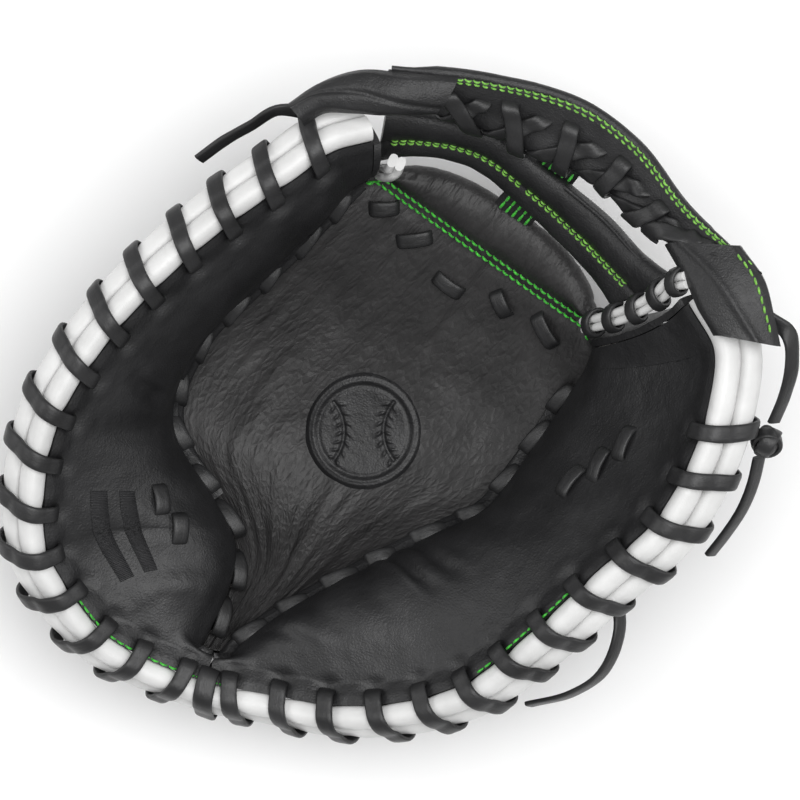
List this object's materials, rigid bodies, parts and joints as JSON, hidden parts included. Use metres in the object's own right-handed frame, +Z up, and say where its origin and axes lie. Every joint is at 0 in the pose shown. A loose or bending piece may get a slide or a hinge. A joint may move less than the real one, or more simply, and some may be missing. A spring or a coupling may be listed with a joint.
{
  "type": "catcher's mitt",
  "caption": "Left-hand baseball catcher's mitt lying palm up: padded horseshoe rim, deep pocket, closed web, laced rim and adjustable wrist strap.",
  "frame": {"origin": "middle of the mitt's bounding box in plan, without the free lace tail, on the surface that it lies on", "axes": "+Z up from the surface, out of the pocket; +Y from the heel to the web; +X from the thumb side to the little-finger side"},
  "size_m": [0.2461, 0.2809, 0.13],
  "materials": {
    "palm_leather": "soft sheen black steerhide",
    "back_leather": "matt black steerhide",
    "white_binding": "white leather binding, satin",
    "rawhide_lace": "black rawhide lace",
    "wool_felt": "pressed wool felt",
    "lining_leather": "soft lining leather",
    "hook_and_loop": "woven hook and loop tape",
    "ring_plastic": "moulded, satin"
  },
  "bodies": {
    "pocket": {"finger_seam_lace": "rawhide_lace", "pocket_backing": "back_leather", "pocket_hem": "palm_leather", "pocket_panel": "palm_leather", "ring_anchor": "back_leather", "strap_loop_patch": "hook_and_loop", "strap_return": "back_leather", "strap_ring": "ring_plastic", "thumb_seam_lace": "rawhide_lace", "web_base_lace": "rawhide_lace", "web_cross_lace": "rawhide_lace", "web_inner_bar": "palm_leather", "web_inner_roll": "palm_leather", "web_lower_post": "palm_leather", "web_outer_band": "palm_leather", "web_outer_roll": "back_leather", "web_upper_post": "palm_leather", "wrist_strap": "back_leather"},
    "thumb_side": {"thumb_back_binding": "white_binding", "thumb_back_leather": "back_leather", "thumb_crotch_binding": "white_binding", "thumb_lace_end": "rawhide_lace", "thumb_lining": "lining_leather", "thumb_loop": "lining_leather", "thumb_pad": "wool_felt", "thumb_palm_binding": "white_binding", "thumb_palm_leather": "palm_leather", "thumb_rim_lace": "rawhide_lace", "thumb_stripe_1": "palm_leather", "thumb_stripe_2": "palm_leather", "thumb_tie_lace": "rawhide_lace", "thumb_tip_gusset": "back_leather", "web_thumb_hood": "palm_leather"},
    "finger_side": {"finger_back_binding": "white_binding", "finger_back_leather": "back_leather", "finger_crotch_binding": "white_binding", "finger_crotch_lace": "rawhide_lace", "finger_lace_end": "rawhide_lace", "finger_lining": "lining_leather", "finger_pad": "wool_felt", "finger_palm_binding": "white_binding", "finger_palm_leather": "palm_leather", "finger_rim_lace": "rawhide_lace", "finger_tie_lace": "rawhide_lace", "finger_tip_gusset": "back_leather", "flap_tie": "rawhide_lace", "knot_tail": "rawhide_lace", "little_finger_loop": "lining_leather", "tie_knot": "rawhide_lace", "web_finger_flap": "palm_leather"},
    "closure_tab": {"strap_tab": "back_leather", "strap_hook_patch": "hook_and_loop"}
  },
  "joints": [
    {"name": "thumb_fold", "type": "hinge", "parent": "pocket", "child": "thumb_side", "pos_m": [-0.009, -0.118, 0.062], "axis": [-0.2692, 0.963, 0.0104], "range_deg": [0, 25], "stiffness_Nm_per_rad": 2.5, "deforming": ["pocket_panel", "pocket_backing", "pocket_hem", "thumb_seam_lace", "finger_seam_lace", "web_base_lace", "web_inner_bar", "web_inner_roll", "web_outer_band", "web_outer_roll", "web_cross_lace", "web_lower_post", "web_upper_post", "wrist_strap", "strap_return", "ring_anchor"]},
    {"name": "finger_fold", "type": "hinge", "parent": "pocket", "child": "finger_side", "pos_m": [0.002, -0.116, 0.062], "axis": [-0.2362, -0.9716, -0.0107], "range_deg": [0, 25], "stiffness_Nm_per_rad": 2.5, "deforming": ["pocket_panel", "pocket_backing", "pocket_hem", "thumb_seam_lace", "finger_seam_lace", "web_base_lace", "web_inner_bar", "web_inner_roll", "web_outer_band", "web_outer_roll", "web_cross_lace", "web_lower_post", "web_upper_post", "wrist_strap", "strap_return", "ring_anchor"]},
    {"name": "tab_peel", "type": "hinge", "parent": "pocket", "child": "closure_tab", "pos_m": [0.01, -0.09, 0.0005], "axis": [0, -1, 0], "range_deg": [0, 110]}
  ]
}
